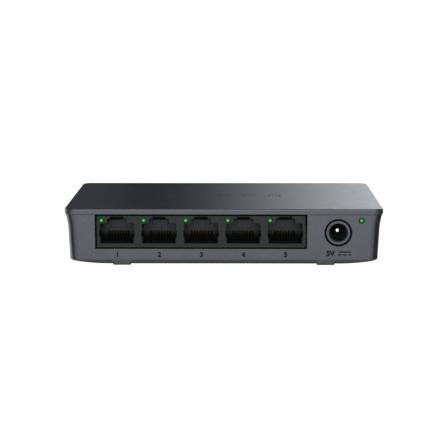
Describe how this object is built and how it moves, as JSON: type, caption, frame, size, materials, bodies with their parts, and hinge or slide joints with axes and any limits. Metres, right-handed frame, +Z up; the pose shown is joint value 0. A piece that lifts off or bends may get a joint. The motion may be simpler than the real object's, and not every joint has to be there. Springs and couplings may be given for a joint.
{
  "type": "desktop network switch",
  "caption": "Low flat plastic box with a row of modular network sockets, a round power inlet and small status lamps along one long side.",
  "frame": {"origin": "middle of the case in plan, on the surface that the rubber feet stand on", "axes": "+X along the case to the right as its sockets are faced, +Y from the sockets to the back, +Z up"},
  "size_m": [0.1156, 0.075, 0.0205],
  "materials": {
    "cover_plastic": "fine satin texture, dark blue-grey",
    "case_plastic": "fine satin texture, dark blue-grey",
    "jack_plastic": "satin, near black",
    "insert_plastic": "satin, black",
    "contact_metal": "gold-flashed phosphor bronze",
    "light_pipe": "clear moulding lit green from behind",
    "lamp": "small surface-mounted lamp",
    "inlet_plastic": "satin black",
    "inlet_metal": "nickel-plated",
    "circuit_board": "green solder mask on glass-fibre laminate",
    "package_epoxy": "moulded epoxy",
    "crystal_can": "drawn steel can",
    "capacitor_can": "bare aluminium can",
    "ferrite": "sintered ferrite",
    "copper_wire": "enamelled copper",
    "chip_ceramic": "plated ceramic chips",
    "screw_steel": "zinc-plated",
    "foot_rubber": "matt",
    "label_film": "plain printed film, blank"
  },
  "bodies": {
    "switch_case": {"base_shell": "case_plastic", "board_screws": "screw_steel", "buck_regulator": "package_epoxy", "case_screws": "screw_steel", "ceramic_capacitors": "chip_ceramic", "chip_resistors": "chip_ceramic", "crystal": "crystal_can", "dc_jack_body": "inlet_plastic", "dc_jack_pin": "inlet_metal", "dc_jack_terminals": "inlet_metal", "flash_memory": "package_epoxy", "inductor_winding": "copper_wire", "input_capacitors": "capacitor_can", "main_board": "circuit_board", "port_1_contact_carrier": "insert_plastic", "port_1_contact_comb": "insert_plastic", "port_1_contact_leads": "contact_metal", "port_1_light_pipe": "light_pipe", "port_1_transformer": "package_epoxy", "port_2_contact_carrier": "insert_plastic", "port_2_contact_comb": "insert_plastic", "port_2_contact_leads": "contact_metal", "port_2_light_pipe": "light_pipe", "port_2_transformer": "package_epoxy", "port_3_contact_carrier": "insert_plastic", "port_3_contact_comb": "insert_plastic", "port_3_contact_leads": "contact_metal", "port_3_light_pipe": "light_pipe", "port_3_transformer": "package_epoxy", "port_4_contact_carrier": "insert_plastic", "port_4_contact_comb": "insert_plastic", "port_4_contact_leads": "contact_metal", "port_4_light_pipe": "light_pipe", "port_4_transformer": "package_epoxy", "port_5_contact_carrier": "insert_plastic", "port_5_contact_comb": "insert_plastic", "port_5_contact_leads": "contact_metal", "port_5_light_pipe": "light_pipe", "port_5_transformer": "package_epoxy", "port_housing": "jack_plastic", "power_inductor": "ferrite", "power_light_pipe": "light_pipe", "protection_diode": "package_epoxy", "rating_label": "label_film", "rubber_foot_front_left": "foot_rubber", "rubber_foot_front_right": "foot_rubber", "rubber_foot_rear_left": "foot_rubber", "rubber_foot_rear_right": "foot_rubber", "status_lamps": "lamp", "switch_chip": "package_epoxy", "top_cover": "cover_plastic"},
    "port_1_springs": {"port_1_contact_springs": "contact_metal"},
    "port_2_springs": {"port_2_contact_springs": "contact_metal"},
    "port_3_springs": {"port_3_contact_springs": "contact_metal"},
    "port_4_springs": {"port_4_contact_springs": "contact_metal"},
    "port_5_springs": {"port_5_contact_springs": "contact_metal"},
    "inlet_leaf": {"dc_jack_spring": "inlet_metal"}
  },
  "joints": [
    {"name": "port_1_spring_flex", "type": "hinge", "parent": "switch_case", "child": "port_1_springs", "pos_m": [-0.03868, -0.03295, 0.00802], "axis": [-1, 0, 0], "range_deg": [0, 7], "stiffness_Nm_per_rad": 0.5},
    {"name": "port_2_spring_flex", "type": "hinge", "parent": "switch_case", "child": "port_2_springs", "pos_m": [-0.02344, -0.03295, 0.00802], "axis": [-1, 0, 0], "range_deg": [0, 7], "stiffness_Nm_per_rad": 0.5},
    {"name": "port_3_spring_flex", "type": "hinge", "parent": "switch_case", "child": "port_3_springs", "pos_m": [-0.0082, -0.03295, 0.00802], "axis": [-1, 0, 0], "range_deg": [0, 7], "stiffness_Nm_per_rad": 0.5},
    {"name": "port_4_spring_flex", "type": "hinge", "parent": "switch_case", "child": "port_4_springs", "pos_m": [0.00704, -0.03295, 0.00802], "axis": [-1, 0, 0], "range_deg": [0, 7], "stiffness_Nm_per_rad": 0.5},
    {"name": "port_5_spring_flex", "type": "hinge", "parent": "switch_case", "child": "port_5_springs", "pos_m": [0.02228, -0.03295, 0.00802], "axis": [-1, 0, 0], "range_deg": [0, 7], "stiffness_Nm_per_rad": 0.5},
    {"name": "inlet_leaf_flex", "type": "hinge", "parent": "switch_case", "child": "inlet_leaf", "pos_m": [0.0414, -0.0259, 0.00775], "axis": [1, 0, 0], "range_deg": [0, 6.5], "stiffness_Nm_per_rad": 0.2}
  ]
}
